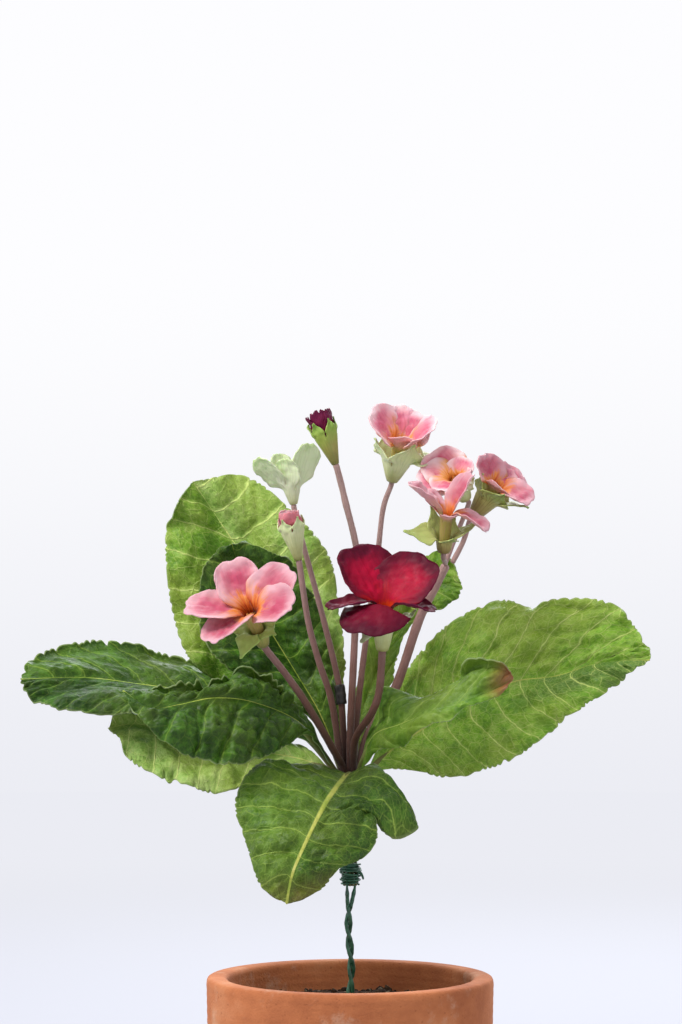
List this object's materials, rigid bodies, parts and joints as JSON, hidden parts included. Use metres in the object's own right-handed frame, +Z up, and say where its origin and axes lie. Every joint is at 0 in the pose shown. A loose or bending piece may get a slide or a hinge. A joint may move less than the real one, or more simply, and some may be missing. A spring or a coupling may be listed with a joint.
{
  "type": "potted primrose",
  "caption": "Artificial primrose with scalloped leaves and pink and burgundy flowers on a bound, twisted wire stem, standing in a plain clay pot of soil.",
  "frame": {"origin": "centre of the pot's foot, on the surface that it stands on", "axes": "+Z up along the pot's axis, +X to the viewer's right and +Y away from the viewer"},
  "size_m": [0.2102, 0.1012, 0.2749],
  "materials": {
    "pot_clay": "unglazed fired clay, matte",
    "soil": "dark crumbly potting soil, matte",
    "wire_green": "dark green coated florist's wire, satin",
    "sleeve_black": "black sleeve, satin",
    "leaf_light": "light green pressed cloth leaf with pale raised veins",
    "leaf_dark": "dark green pressed cloth leaf with pale raised veins",
    "stem": "reddish brown stem, satin",
    "calyx": "pale yellow-green pressed cloth",
    "corolla_pink": "pink pressed cloth petals, matte",
    "corolla_dark": "burgundy pressed cloth petals with a soft sheen",
    "eye": "orange-brown flower eye"
  },
  "bodies": {
    "root": {"pot": "pot_clay", "soil": "soil", "support_wire_a": "wire_green", "support_wire_b": "wire_green", "binding_wire": "wire_green", "stem_sleeve": "sleeve_black", "leaf_back_left": "leaf_light", "leaf_left_lower": "leaf_light", "leaf_back_right": "leaf_light", "leaf_right": "leaf_light", "leaf_inner_left": "leaf_dark", "leaf_left": "leaf_dark", "leaf_front_left": "leaf_dark", "leaf_front": "leaf_dark", "leaf_young_right": "leaf_dark", "stem_pink_bud": "stem", "stem_empty_calyx": "stem", "stem_dark_bud": "stem", "stem_top_flower": "stem", "stem_dark_flower": "stem", "stem_umbel": "stem", "stem_front_flower": "stem", "pedicel_star": "stem", "pedicel_middle": "stem", "pedicel_outer": "stem", "calyx_front": "calyx", "corolla_front": "corolla_pink", "stamens_front": "eye", "calyx_dark": "calyx", "corolla_dark": "corolla_dark", "stamens_dark": "eye", "calyx_top": "calyx", "corolla_top": "corolla_pink", "stamens_top": "eye", "calyx_middle": "calyx", "corolla_middle": "corolla_pink", "stamens_middle": "eye", "calyx_outer": "calyx", "corolla_outer": "corolla_pink", "stamens_outer": "eye", "calyx_star": "calyx", "corolla_star": "corolla_pink", "stamens_star": "eye", "calyx_dark_bud": "calyx", "calyx_pink_bud": "calyx", "empty_calyx": "calyx", "petals_dark_bud": "corolla_dark", "petals_pink_bud": "corolla_pink"}
  },
  "joints": []
}
